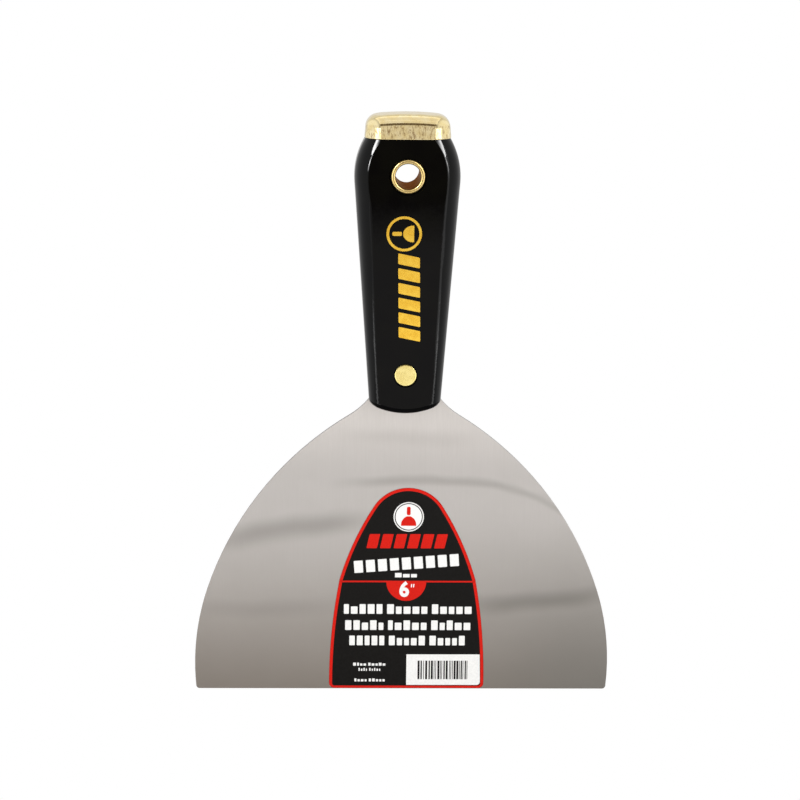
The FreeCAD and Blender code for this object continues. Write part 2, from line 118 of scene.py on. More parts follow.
class MaterialGraph(Graph):
    """The node tree of a new material, with its Principled shader."""

    def __init__(self, name):
        self.material = bpy.data.materials.new(name)
        self.material.use_nodes = True
        super().__init__(self.material.node_tree)
        self.shader = self.tree.nodes["Principled BSDF"]

    def shade(self, **inputs):
        """Sets Principled sockets by name, with _ for a space."""
        for key, value in inputs.items():
            self.feed(self.shader.inputs[key.replace("_", " ")], value)


def rgba(red, green, blue):
    return (red, green, blue, 1.0)


WHITE = rgba(1.0, 1.0, 1.0)


# ---------------------------------------------------------------- materials

# Broad soft bands across the steel: painted darker reflection in their tone, and a shallow bump. Each row:
# height at the blade's middle line, slope, bow (per millimetre), half width, left end, right end, and depth
# from 0 to 1.
# Lengths are in millimetres.
BLADE_BANDS = (
    (68.0, 0.17, 0.0, 6.5, -68, -16, 0.42),
    (28.5, 0.11, 0.0, 5.5, 27, 74, 0.55),
    (80.8, 0.03, -0.0032, 2.8, -18, 46, 0.30),
    (32.5, 0.02, 0.0, 5.0, -74, -28, 0.20),
    (96.0, -0.03, 0.0, 4.5, -20, 24, 0.12),
    (102.0, -0.58, 0.0, 2.6, 48, 66, 0.30),
)
BAND_WANDER = 9.0
BAND_END_FADE = 14.0
BAND_RELIEF = 0.18
GRAIN_RELIEF = 0.008

STEEL_GRAIN_DARK = rgba(0.60, 0.575, 0.557)
STEEL_GRAIN_PALE = rgba(0.65, 0.625, 0.607)
STEEL_CLOUD = rgba(0.57, 0.545, 0.52)
# Tones of the painted shade towards the working edge and at the lower right.
STEEL_SHADE_LOWER = rgba(0.37, 0.355, 0.345)
STEEL_SHADE_AT_EDGE = rgba(0.235, 0.205, 0.175)
STEEL_SHADE_LOWER_RIGHT = rgba(0.20, 0.195, 0.18)
# Tone of the painted darker reflection in the bands.
STEEL_BAND_SHADE = rgba(0.17, 0.162, 0.147)
STEEL_SHEARED = rgba(0.16, 0.155, 0.15)


def steel_bands(g, place):
    """Sum of the soft bands, 0 on plain steel and up to each band's depth on its middle line."""
    x, _, z = g.axes(place)
    wander = g.math("MULTIPLY", g.noise(g.stretched(place, 0.02, 0.02, 0.02), detail=2.0), BAND_WANDER)
    total = None
    for height, slope, bow, half_width, left, right, depth in BLADE_BANDS:
        line = g.math("ADD", g.math("MULTIPLY", x, slope), height - BAND_WANDER / 2)
        bowed = g.math("MULTIPLY", g.math("MULTIPLY", x, x), bow)
        line = g.math("ADD", g.math("ADD", line, bowed), wander)
        away = g.math("ABSOLUTE", g.math("SUBTRACT", z, line))
        across = g.ramp(away, 0.0, half_width, depth, 0.0)
        ends = g.math("MULTIPLY", g.ramp(x, left - BAND_END_FADE, left + BAND_END_FADE),
                      g.ramp(x, right + BAND_END_FADE, right - BAND_END_FADE))
        part = g.math("MULTIPLY", across, ends)
        total = part if total is None else g.math("ADD", total, part)
    return total


def steel_material():
    """Flexible blade steel: fine vertical grain, soft bands of painted darker reflection, dark sheared
    edges.

    It also has painted shade that darkens it towards the working edge, from 104 mm down, and most at the
    lower right."""
    g = MaterialGraph("blade_steel")
    place = g.millimetres()
    fine = g.noise(g.stretched(place, 7.0, 1.0, 0.14), detail=4.0, roughness=0.65)
    streak = g.noise(g.stretched(place, 0.9, 1.0, 0.015), detail=3.0)
    cloud = g.noise(g.stretched(place, 0.035, 0.035, 0.05), detail=3.0, roughness=0.6)
    bands = steel_bands(g, place)
    x, _, z = g.axes(place)

    grain = g.math("ADD", g.math("MULTIPLY", fine, 0.8), g.math("MULTIPLY", streak, 0.2))
    tone = g.blend(g.ramp(grain, 0.3, 0.7), STEEL_GRAIN_DARK, STEEL_GRAIN_PALE)
    tone = g.blend(g.math("MULTIPLY", g.ramp(cloud, 0.35, 0.7), 0.35), tone, STEEL_CLOUD)
    # Painted shade: darker towards the working edge, and most at the lower right.
    tone = g.blend(g.ramp(z, 104.0, 80.0, 0.0, 0.5), tone, STEEL_SHADE_LOWER)
    tone = g.blend(g.ramp(z, 80.0, -12.0, 0.0, 0.9), tone, STEEL_SHADE_AT_EDGE)
    shade_lower_right = g.math("MULTIPLY", g.ramp(x, 5.0, 75.0), g.ramp(z, 75.0, 5.0, 0.0, 0.6))
    tone = g.blend(shade_lower_right, tone, STEEL_SHADE_LOWER_RIGHT)
    # Painted darker reflection along the bands; the bump below gives their shallow relief.
    tone = g.blend(bands, tone, STEEL_BAND_SHADE)
    facing = g.add("ShaderNodeNewGeometry").outputs["Normal"]
    towards_face = g.math("ABSOLUTE", g.axes(facing)[1])
    tone = g.blend(g.ramp(towards_face, 0.75, 0.45), tone, STEEL_SHEARED)

    rough = g.ramp(g.math("ADD", g.math("MULTIPLY", grain, 0.6), g.math("MULTIPLY", cloud, 0.4)),
                   0.3, 0.7, 0.33, 0.42)
    waves = g.bump(g.math("MULTIPLY", bands, -1.0), BAND_RELIEF * MM, 0.6)
    normal = g.bump(grain, GRAIN_RELIEF * MM, 0.4, waves)
    along = g.add("ShaderNodeVectorMath", {0: facing, 1: (0.0, 0.0, 1.0)},
                  operation="CROSS_PRODUCT").outputs[0]
    g.shade(Base_Color=tone, Roughness=rough, Normal=normal, Metallic=1.0, Anisotropic=0.45, Tangent=along)
    return g.material


def nylon_material():
    """Polished black moulded nylon with a faint orange peel and light scuffs."""
    g = MaterialGraph("handle_nylon")
    place = g.millimetres()
    peel = g.noise(place, 0.55, 2.0)
    scuff = g.noise(g.stretched(place, 2.5, 2.5, 0.35), 1.0, 4.0, 0.7)
    cloud = g.noise(place, 0.08, 3.0)
    tone = g.blend(g.ramp(cloud, 0.3, 0.7), rgba(0.0002, 0.0002, 0.0003), rgba(0.0005, 0.0005, 0.0004))
    rough = g.math("ADD", g.ramp(scuff, 0.4, 0.8, 0.0, 0.03), g.ramp(cloud, 0.3, 0.7, 0.05, 0.07))
    normal = g.bump(peel, 0.006 * MM, 0.3)
    g.shade(Base_Color=tone, Roughness=rough, Normal=normal, Specular_IOR_Level=0.15)
    return g.material


def brass_material(name, pale, deep, roughness, peel_depth, peel_scale, painted_light=None, glance=WHITE):
    """Plated brass with a slightly uneven polish; pale and deep are its two tones, glance its edge tint.

    A function given after peel_scale takes the graph, the position and the tone, and gives back the tone
    with painted shade or painted reflection added."""
    g = MaterialGraph(name)
    place = g.millimetres()
    patches = g.noise(place, 0.35, 3.0, 0.6)
    ripple = g.noise(g.stretched(place, 1.4, 1.4, 0.8), peel_scale, 2.5, 0.55, 0.6)
    fine = g.noise(g.stretched(place, 6.0, 6.0, 1.2), 1.0, 3.0)
    tone = g.blend(g.ramp(patches, 0.3, 0.7), pale, deep)
    height = g.math("MULTIPLY", ripple, peel_depth)
    # Painted shade or painted reflection, where the material has it.
    if painted_light:
        tone = painted_light(g, place, tone)
    rough = g.ramp(g.math("ADD", g.math("MULTIPLY", fine, 0.5), g.math("MULTIPLY", patches, 0.5)),
                   0.3, 0.7, roughness * 0.75, roughness * 1.3)
    g.shade(Base_Color=tone, Roughness=rough, Normal=g.bump(height, MM), Metallic=1.0, Specular_Tint=glance)
    return g.material


# Dark brown of the painted reflection in the cap's draw lines.
CAP_LINE_REFLECTION = rgba(0.27, 0.15, 0.05)


def cap_line_reflections(g, place, tone):
    """Fine draw lines on the cap's upright faces, made dark brown by painted reflection."""
    facing = g.add("ShaderNodeNewGeometry").outputs["Normal"]
    upright = g.ramp(g.math("ABSOLUTE", g.axes(facing)[2]), 0.35, 0.15)
    lines = g.noise(g.stretched(place, 2.2, 2.2, 0.6), 1.0, 4.0, 0.65, 0.3)
    patches = g.noise(g.stretched(place, 0.35, 0.35, 0.5), 1.0, 2.0)
    # Painted reflection: dark lines on the upright faces, in patches.
    line_reflection = g.math("MULTIPLY", g.ramp(lines, 0.46, 0.62), g.ramp(patches, 0.35, 0.6, 0.35, 1.0))
    line_reflection = g.math("MULTIPLY", line_reflection, g.math("MULTIPLY", upright, 0.8))
    return g.blend(line_reflection, tone, CAP_LINE_REFLECTION)


HANG_HOLE = next(mount for mount in frame["record"]["mounts"] if mount["name"] == "hang_hole")
HOLE_HEIGHT = HANG_HOLE["pos_m"][2] / MM
HOLE_RADIUS = HANG_HOLE["dims"]["r_mm"]
# Painted shade on the hang hole's wall.
HOLE_SHADE = rgba(0.20, 0.075, 0.001)


def eyelet_hole_shade(g, place, tone):
    """Painted shade: darker brass on the wall inside the hang hole."""
    x, _, height = g.axes(place)
    z = g.math("SUBTRACT", height, HOLE_HEIGHT)
    away = g.math("SQRT", g.math("ADD", g.math("MULTIPLY", x, x), g.math("MULTIPLY", z, z)))
    inside = g.ramp(away, HOLE_RADIUS + 0.25, HOLE_RADIUS + 0.02)
    return g.blend(inside, tone, HOLE_SHADE)


PRINT_ROUGHNESS = 0.45


def printed_material(name, colour, shade):
    """Film or ink on it: a faint mottle between two tones and a slightly uneven, satin gloss."""
    g = MaterialGraph(name)
    place = g.millimetres()
    mottle = g.noise(place, 1.6, 4.0, 0.6)
    wrinkle = g.noise(place, 0.11, 2.0)
    tone = g.blend(g.ramp(mottle, 0.35, 0.65), colour, shade)
    rough = g.ramp(mottle, 0.3, 0.7, PRINT_ROUGHNESS * 0.85, PRINT_ROUGHNESS * 1.15)
    normal = g.bump(wrinkle, 0.05 * MM, 0.4)
    g.shade(Base_Color=tone, Roughness=rough, Normal=normal, Specular_IOR_Level=0.1)
    return g.material


# ---------------------------------------------------------------- flat outlines, in millimetres (x, z)

def circle(x, z, radius, steps=48, start=0.0, sweep=360.0):
    count = steps if sweep >= 360.0 else steps + 1
    return [(x + radius * math.cos(math.radians(start + sweep * k / steps)),
             z + radius * math.sin(math.radians(start + sweep * k / steps))) for k in range(count)]


def circle_through(start, middle, end):
    """Centre and radius of the circle through three points."""
    ax, az = start
    bx, bz = middle
    cx, cz = end
    d = 2 * (ax * (bz - cz) + bx * (cz - az) + cx * (az - bz))
    squares = (ax * ax + az * az, bx * bx + bz * bz, cx * cx + cz * cz)
    ux = (squares[0] * (bz - cz) + squares[1] * (cz - az) + squares[2] * (az - bz)) / d
    uz = (squares[0] * (cx - bx) + squares[1] * (ax - cx) + squares[2] * (bx - ax)) / d
    return ux, uz, math.hypot(ax - ux, az - uz)


def arc_through(start, middle, end, steps):
    """Points of the circle arc through three points, without the last one."""
    ux, uz, radius = circle_through(start, middle, end)
    first = math.atan2(start[1] - uz, start[0] - ux)
    last = math.atan2(end[1] - uz, end[0] - ux)
    mid = math.atan2(middle[1] - uz, middle[0] - ux)
    sweep = (last - first) % (2 * math.pi)
    if (mid - first) % (2 * math.pi) > sweep:
        sweep -= 2 * math.pi
    return [(ux + radius * math.cos(first + sweep * k / steps),
             uz + radius * math.sin(first + sweep * k / steps)) for k in range(steps)]


def rounded_box(left, bottom, right, top, radius, lean=0.0, steps=5):
    """Rectangle with round corners, leaning right by lean millimetres per millimetre of height."""
    points = []
    for cx, cz, start in ((right - radius, top - radius, 0), (left + radius, top - radius, 90),
                          (left + radius, bottom + radius, 180), (right - radius, bottom + radius, 270)):
        points += circle(cx, cz, radius, steps, start, 90.0)
    return [(x + (z - bottom) * lean, z) for x, z in points]


def turned(points, degrees, about=(0.0, 0.0)):
    c = math.cos(math.radians(degrees))
    s = math.sin(math.radians(degrees))
    ax, az = about
    return [(ax + (x - ax) * c - (z - az) * s, az + (x - ax) * s + (z - az) * c) for x, z in points]


def inset(points, distance):
    """A closed anticlockwise outline moved inwards along its own normals."""
    count = len(points)
    moved = []
    for k in range(count):
        before = Vector(points[k - 1])
        after = Vector(points[(k + 1) % count])
        run = (after - before).normalized()
        moved.append((points[k][0] - run.y * distance, points[k][1] + run.x * distance))
    return moved


def stretched_down(points, distance):
    """An outline with its lowest points moved down by a distance, and its highest left in place."""
    low = min(z for x, z in points)
    high = max(z for x, z in points)
    return [(x, z - distance * (high - z) / (high - low)) for x, z in points]


# ---------------------------------------------------------------- thin printed pieces

def surface_y(node, x, z):
    """y of the node's front surface, in metres, at x and z in millimetres."""
    hit, place, _, _ = NODES[node].ray_cast(Vector((x * MM, -1.0, z * MM)), Vector((0.0, 1.0, 0.0)))
    if not hit:
        raise ValueError(f"no surface of {node} at x {x:.2f}, z {z:.2f}")
    return place.y


PRINT_SINK = 0.02    # how far a plate reaches into the surface it lies on, in millimetres


def printed_piece(name, shapes, node, lift, material, pitch=0.0):
    """One mesh of thin closed plates that lie on a node's front; a shape is an outline and its holes.

    With a pitch, the plates are cut into a grid of that size, to follow a curved surface."""
    sheet = bmesh.new()
    for loops in shapes:
        flat = [[Vector((x, z, 0.0)) for x, z in loop] for loop in loops]
        corners = [sheet.verts.new((point.x, 0.0, point.y)) for loop in flat for point in loop]
        for triangle in tessellate_polygon(flat):
            sheet.faces.new([corners[k] for k in triangle])
    if pitch:
        for normal in (Vector((1, 0, 0)), Vector((0, 0, 1))):
            along = [vertex.co.dot(normal) for vertex in sheet.verts]
            for k in range(math.ceil(min(along) / pitch), math.ceil(max(along) / pitch)):
                whole = sheet.verts[:] + sheet.edges[:] + sheet.faces[:]
                bmesh.ops.bisect_plane(sheet, geom=whole, plane_co=normal * k * pitch, plane_no=normal)

    mesh = bmesh.new()
    front = {}
    back = {}
    for vertex in sheet.verts:
        x, _, z = vertex.co
        y = surface_y(node, x, z)
        front[vertex] = mesh.verts.new((x * MM, y - lift * MM, z * MM))
        back[vertex] = mesh.verts.new((x * MM, y + PRINT_SINK * MM, z * MM))
    for face in sheet.faces:
        mesh.faces.new([front[vertex] for vertex in face.verts])
        mesh.faces.new([back[vertex] for vertex in reversed(face.verts)])
    for edge in sheet.edges:
        if len(edge.link_faces) == 1:
            a, b = edge.verts
            mesh.faces.new((front[a], front[b], back[b], back[a]))
    bmesh.ops.recalc_face_normals(mesh, faces=mesh.faces)
    sheet.free()
    data = bpy.data.meshes.new(name)
    mesh.to_mesh(data)
    mesh.free()
    piece = bpy.data.objects.new(name, data)
    bpy.context.scene.collection.objects.link(piece)
    data.materials.append(material)
    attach(piece, BODY)


def block_row(left, right, bottom, height, words, gap, word_gap, radius):
    """Rounded blocks in groups, standing for a line of print; words gives each group's block count."""
    weights = [[random.uniform(0.8, 1.2) for _ in range(count)] for count in words]
    gaps = sum((count - 1) * gap for count in words) + (len(words) - 1) * word_gap
    unit = (right - left - gaps) / sum(sum(group) for group in weights)
    x = left
    outlines = []
    for group in weights:
        for place, weight in enumerate(group):
            tall = 1.0 if place == 0 else random.choice((0.76, 0.76, 1.0))
            outlines.append(rounded_box(x, bottom, x + unit * weight, bottom + height * tall, radius))
            x += unit * weight + gap
        x += word_gap - gap
    return outlines


def stripe_row(left, right, bottom, height, count, gap, lean, radius):
    """Equal stripes side by side, leaning right by lean millimetres per millimetre of height."""
    width = (right - left - gap * (count - 1)) / count
    x = left
    outlines = []
    for _ in range(count):
        outlines.append(rounded_box(x, bottom, x + width, bottom + height, radius, lean))
        x += width + gap
    return outlines


def knife_icon(x, z, size):
    """Plain pictogram of a spreading tool: a fan blade below a short handle."""
    def at(across, up):
        return x + across * size, z + up * size

    edge_left, edge_right = at(-0.52, -0.62), at(0.52, -0.62)
    neck_left, neck_right = at(-0.12, 0.06), at(0.12, 0.06)
    fan = [edge_left, edge_right] + arc_through(edge_right, at(0.42, -0.18), neck_right, 8)[1:]
    fan += [neck_right, neck_left] + arc_through(neck_left, at(-0.42, -0.18), edge_left, 8)[1:]
    handle = rounded_box(*at(-0.13, 0.14), *at(0.13, 0.74), 0.1 * size)
    return [fan, handle]


# ---------------------------------------------------------------- label

# The label's own outline, in millimetres. Points are given right of its middle line and up from the
# working edge, and its left half mirrors the right. The box is rounded to hundredths, because a mesh holds
# single-precision numbers.
LABEL_LOWEST, LABEL_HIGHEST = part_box("label")
LABEL_CENTRE = round((LABEL_LOWEST[0] + LABEL_HIGHEST[0]) / 2 / MM, 2)
LABEL_BOTTOM = round(LABEL_LOWEST[2] / MM, 2)
LABEL_TOP = round(LABEL_HIGHEST[2] / MM, 2)
LABEL_CORNER_RADIUS = 2.0
LABEL_APEX_END = (12.6, 69.9)
LABEL_FLANK_MIDDLE = (19.6, 57.0)
LABEL_FLANK_END = (25.2, 41.8)
LABEL_SIDE_MIDDLE = (27.5, 26.4)
LABEL_HALF_WIDTH = 28.75

# Its red border, and how far the lower and the upper layer of print stand out of the film.
LABEL_MARGIN = 0.06
BORDER_WIDTH = 1.15
BORDER_FOOT = 0.9
BORDER_LIFT = 0.03
INK_LIFT = 0.05

# The print inside the border, in millimetres from the blade's middle line and from the working edge.
# A row is (left, right, bottom).
RULE_HEIGHT = 41.2
RULE_HALF_THICKNESS = 0.3
RULE_OVERLAP = 0.2
RULE_SEARCH = (-3.0, 3.8)           # heights from the rule at which its ends look for the border
SIZE_DISC = (1.4, 7.4)              # centre, radius
EMBLEM = (2.0, 65.85, 5.6)          # centre, height of the centre, radius
EMBLEM_RING_WIDTH = 0.4
EMBLEM_DISC_INSET = 0.75
STRIPE_ROW = (-13.5, 15.4, 53.9)
STRIPE_HEIGHT = 5.4
RISING_ROW = (-17.8, 21.0, 44.4)
RISING_ROW_HEIGHT = 4.6
RISING_ANGLE = 4.2
NOTE_ROW = (-2.8, 5.3, 42.8)
NOTE_ROW_HEIGHT = 1.7
TEXT_ROWS = ((-21.6, 25.8, 28.8), (-21.1, 25.4, 22.6), (-19.5, 23.4, 16.7))
TEXT_ROW_HEIGHT = 3.7
FOOT_ROWS = ((-18.0, -6.0, 8.8), (-16.0, -7.9, 6.8), (-17.5, -6.2, 2.7))
FOOT_ROW_HEIGHT = 1.15

PANEL_LEFT = 1.8
PANEL_BOTTOM = 1.4
PANEL_TOP = 13.2
PANEL_CORNER_RADIUS = 1.2
PANEL_BORDER_GAP = 0.15
PANEL_TOP_GAP = 0.25
BARS_LEFT = 6.0
BARS_RIGHT = 24.6
BARS_BOTTOM = 3.6
BARS_TOP = 10.8
BAR_WIDTHS = (0.25, 0.25, 0.5, 0.75)
BAR_GAPS = (0.25, 0.35, 0.5)

NUMERAL_SIZE = 7.6
NUMERAL_WEIGHT = 0.30
NUMERAL_NARROWING = 0.95
NUMERAL_CENTRE = 0.7
NUMERAL_BOTTOM = 35.3
NUMERAL_LIFT = INK_LIFT + 0.02
TICK_LEFTS = (3.1, 3.9)
TICK_WIDTH = 0.4
TICK_BOTTOM = 39.0
TICK_TOP = 40.3


def label_outline():
    """The label's own outline, anticlockwise from the right end of its bottom edge."""
    foot = (LABEL_HALF_WIDTH, LABEL_BOTTOM)
    side_x, side_z, side_radius = circle_through(foot, LABEL_SIDE_MIDDLE, LABEL_FLANK_END)
    corner_z = LABEL_BOTTOM + LABEL_CORNER_RADIUS
    corner_x = side_x + math.sqrt((side_radius - LABEL_CORNER_RADIUS) ** 2 - (corner_z - side_z) ** 2)
    tilt = math.degrees(math.atan2(corner_z - side_z, corner_x - side_x))
    corner = circle(corner_x, corner_z, LABEL_CORNER_RADIUS, 8, 270.0, 90.0 + tilt)
    half = corner[:-1] + arc_through(corner[-1], LABEL_SIDE_MIDDLE, LABEL_FLANK_END, 14)
    half += arc_through(LABEL_FLANK_END, LABEL_FLANK_MIDDLE, LABEL_APEX_END, 14)
    mirrored = [(-x, z) for x, z in reversed(half)]
    apex_left = (-LABEL_APEX_END[0], LABEL_APEX_END[1])
    apex = arc_through(LABEL_APEX_END, (0.0, LABEL_TOP), apex_left, 32)
    return [(x + LABEL_CENTRE, z) for x, z in half + apex + [apex_left] + mirrored]


def label_inks():
    return {
        "red": printed_material("ink_red", rgba(0.53, 0.010, 0.005), rgba(0.47, 0.009, 0.004)),
        "white": printed_material("ink_white", rgba(0.72, 0.72, 0.71), rgba(0.66, 0.66, 0.65)),
        "black": printed_material("ink_black", rgba(0.012, 0.011, 0.010), rgba(0.017, 0.016, 0.015)),
    }


def printed_red(name, shapes, lift, inks):
    printed_piece(name, shapes, "label", lift, inks["red"])


def printed_white(name, shapes, lift, inks):
    printed_piece(name, shapes, "label", lift, inks["white"])


def make_label_frame(inks):
    """The red border, the rule across the label and the half disc that hangs from it."""
    outline = inset(label_outline(), LABEL_MARGIN)
    inner = stretched_down(inset(label_outline(), BORDER_WIDTH), BORDER_WIDTH - BORDER_FOOT)
    low, high = RULE_SEARCH
    beside_rule = [x for x, z in inner if low < z - RULE_HEIGHT < high]
    reach = max(beside_rule) - LABEL_CENTRE + RULE_OVERLAP
    rule = rounded_box(LABEL_CENTRE - reach, RULE_HEIGHT - RULE_HALF_THICKNESS,
                       LABEL_CENTRE + reach, RULE_HEIGHT + RULE_HALF_THICKNESS, 0.1)
    disc_x, disc_radius = SIZE_DISC
    half_disc = circle(disc_x, RULE_HEIGHT, disc_radius, 40, 180.0, 180.0)
    printed_red("label_border", [[outline, list(reversed(inner))]], BORDER_LIFT, inks)
    printed_red("label_rule", [[rule]], BORDER_LIFT, inks)
    printed_red("label_size_disc", [[half_disc]], INK_LIFT, inks)


def make_emblem(inks):
    """A white disc in a thin ring, with the tool pictogram on it."""
    x, z, radius = EMBLEM
    ring = [circle(x, z, radius), list(reversed(circle(x, z, radius - EMBLEM_RING_WIDTH)))]
    disc = [circle(x, z, radius - EMBLEM_DISC_INSET)]
    icon = [[loop] for loop in knife_icon(x, z - 0.1, radius * 0.95)]
    printed_white("label_emblem", [ring, disc], BORDER_LIFT, inks)
    printed_red("label_emblem_icon", icon, INK_LIFT, inks)


def make_label_lines(inks):
    """Stripes and rows of blank blocks, where a label has its lines of print."""
    stripes = stripe_row(*STRIPE_ROW, STRIPE_HEIGHT, count=6, gap=1.1, lean=0.22, radius=0.3)
    printed_red("label_stripes", [[loop] for loop in stripes], BORDER_LIFT, inks)

    rising = stripe_row(*RISING_ROW, RISING_ROW_HEIGHT, count=9, gap=1.15, lean=0.0, radius=0.25)
    left, _, bottom = RISING_ROW
    blocks = [turned(loop, RISING_ANGLE, (left, bottom)) for loop in rising]
    blocks += block_row(*NOTE_ROW, NOTE_ROW_HEIGHT, (3,), gap=0.5, word_gap=0.5, radius=0.15)
    for row in TEXT_ROWS:
        blocks += block_row(*row, TEXT_ROW_HEIGHT, (5, 5, 5), gap=0.75, word_gap=1.7, radius=0.25)
    for row in FOOT_ROWS:
        blocks += block_row(*row, FOOT_ROW_HEIGHT, (4, 5), gap=0.4, word_gap=0.8, radius=0.12)
    printed_white("label_lines", [[loop] for loop in blocks], BORDER_LIFT, inks)


def make_code(inks):
    """A white panel in the lower right corner, with bars of random width that encode nothing."""
    right = LABEL_CENTRE + LABEL_HALF_WIDTH - BORDER_WIDTH - PANEL_BORDER_GAP
    corner_x = right - PANEL_CORNER_RADIUS
    panel = [(PANEL_LEFT, PANEL_BOTTOM), (corner_x, PANEL_BOTTOM)]
    panel += circle(corner_x, PANEL_BOTTOM + PANEL_CORNER_RADIUS, PANEL_CORNER_RADIUS, 6, 270.0, 90.0)[1:]
    panel += [(right - PANEL_TOP_GAP, PANEL_TOP), (PANEL_LEFT, PANEL_TOP)]
    printed_white("label_code_panel", [[panel]], BORDER_LIFT, inks)

    bars = []
    x = BARS_LEFT
    while x < BARS_RIGHT:
        width = random.choice(BAR_WIDTHS)
        bars.append([rounded_box(x, BARS_BOTTOM, x + width, BARS_TOP, 0.03, steps=1)])
        x += width + random.choice(BAR_GAPS)
    printed_piece("label_code_bars", bars, "label", INK_LIFT, inks["black"])


def make_size_mark(inks):
    """The knife's nominal width in inches: a plain numeral and two ticks in the half disc."""
    curve = bpy.data.curves.new("numeral", "FONT")
    curve.body = "6"
    curve.size = NUMERAL_SIZE
    curve.offset = NUMERAL_WEIGHT
    curve.resolution_u = 6
    holder = bpy.data.objects.new("numeral", curve)
    bpy.context.scene.collection.objects.link(holder)
    outline = bpy.data.meshes.new_from_object(holder)
    bpy.data.objects.remove(holder)
    centre_x = sum(v.co.x for v in outline.vertices) / len(outline.vertices)
    low = min(v.co.y for v in outline.vertices)
    mesh = bmesh.new()
    mesh.from_mesh(outline)
    bmesh.ops.dissolve_limit(mesh, angle_limit=0.01, verts=mesh.verts, edges=mesh.edges)
    loops = boundary_loops(mesh)
    mesh.free()
    numeral = [[((x - centre_x) * NUMERAL_NARROWING + NUMERAL_CENTRE, z - low + NUMERAL_BOTTOM)
                for x, z in loop] for loop in loops]
    ticks = [[rounded_box(left, TICK_BOTTOM, left + TICK_WIDTH, TICK_TOP, 0.1, 0.1, 2)]
             for left in TICK_LEFTS]
    printed_white("label_size_mark", [numeral] + ticks, NUMERAL_LIFT, inks)


def boundary_loops(mesh):
    """The closed outlines of a flat mesh, as lists of (x, y), the longest first."""
    border = [edge for edge in mesh.edges if len(edge.link_faces) == 1]
    links = {}
    for edge in border:
        for here, there in (edge.verts, reversed(edge.verts)):
            links.setdefault(here, []).append(there)
    loops = []
    unused = set(links)
    while unused:
        start = min(unused, key=lambda v: v.index)
        loop = [start]
        unused.discard(start)
        while True:
            onward = [v for v in links[loop[-1]] if v in unused]
            if not onward:
                break
            loop.append(onward[0])
            unused.discard(onward[0])
        loops.append([(v.co.x, v.co.y) for v in loop])
    return sorted(loops, key=len, reverse=True)


def make_label_prints():
    inks = label_inks()
    make_label_frame(inks)
    make_emblem(inks)
    make_label_lines(inks)
    make_code(inks)
    make_size_mark(inks)


# ---------------------------------------------------------------- print on the handle

# In millimetres from the knife's middle line and from the working edge.
GOLD_RING = (-1.2, 172.6, 6.4)      # centre, height of the centre, radius
GOLD_RING_WIDTH = 0.95
COLUMN_FOOT = (5.1, 132.9)
COLUMN_LENGTH = 31.0
COLUMN_WIDTH = 7.8
COLUMN_ANGLE = 91.0
FOIL_LIFT = 0.03
FOIL_PITCH = 0.8


def make_handle_print():
    """Gold foil: a ring with the tool pictogram, above a column of leaning stripes."""
    gold = brass_material("foil_gold", rgba(0.95, 0.62, 0.08), rgba(0.88, 0.52, 0.05), 0.25, 0.003, 1.5)
    x, z, radius = GOLD_RING
    ring = [circle(x, z, radius), list(reversed(circle(x, z, radius - GOLD_RING_WIDTH)))]
    icon = [[turned(loop, 90.0, (x, z))] for loop in knife_icon(x, z, radius * 0.9)]
    stripes = stripe_row(0.0, COLUMN_LENGTH, 0.0, COLUMN_WIDTH, count=6, gap=1.5, lean=0.22, radius=0.35)
    foot_x, foot_z = COLUMN_FOOT
    column = [[[(px + foot_x, pz + foot_z) for px, pz in turned(loop, COLUMN_ANGLE)]] for loop in stripes]
    printed_piece("handle_print", [ring] + icon + column, "front_scale", FOIL_LIFT, gold,
                  FOIL_PITCH)


# ---------------------------------------------------------------- the CAD nodes' finish

def dress(node, material):
    piece = NODES[node]
    piece.data.materials.clear()
    piece.data.materials.append(material)


def dress_nodes():
    nylon = nylon_material()
    rivet = brass_material("rivet_brass", rgba(1.0, 0.86, 0.36), rgba(0.95, 0.79, 0.29), 0.17, 0.006, 1.1)
    eyelet = brass_material("eyelet_brass", rgba(0.76, 0.59, 0.26), rgba(0.68, 0.50, 0.19), 0.30, 0.006,
                            1.4, eyelet_hole_shade, rgba(0.42, 0.23, 0.004))
    cap = brass_material("cap_brass", rgba(0.94, 0.82, 0.50), rgba(0.88, 0.72, 0.36), 0.12, 0.02, 0.8,
                         cap_line_reflections)
    film = printed_material("label_film", rgba(0.004, 0.0035, 0.003), rgba(0.006, 0.0055, 0.005))
    finishes = {
        "blade": steel_material(),
        "front_scale": nylon,
        "back_scale": nylon,
        "rivet_post": rivet,
        "rivet_socket": rivet,
        "eyelet_barrel": eyelet,
        "eyelet_washer": eyelet,
        "hammer_cap": cap,
        "label": film,
    }
    for node, material in finishes.items():
        dress(node, material)


# ---------------------------------------------------------------- studio

# Lengths in metres.
CAMERA_TARGET = Vector((-1.69, 0.0, 109.70)) * MM
CAMERA_DISTANCE = 1.2
CAMERA_ELEVATION = math.radians(11.66)
CAMERA_AZIMUTH = math.radians(-2.055)
CAMERA_ROLL = math.radians(0.669)
LENS = 147.5
FLOOR_HEIGHT = -0.12
FLOOR_REACH = 0.6
DARK_FIELD = rgba(0.13, 0.095, 0.06)
LAMP_AIM = Vector((0.0, 0.0, 0.11))
CARD_HEIGHT = FLOOR_HEIGHT + 0.01

Softbox = namedtuple("Softbox", "name bearing elevation distance width height radiance lights")
Card = namedtuple("Card", "name near far width radiance lights")

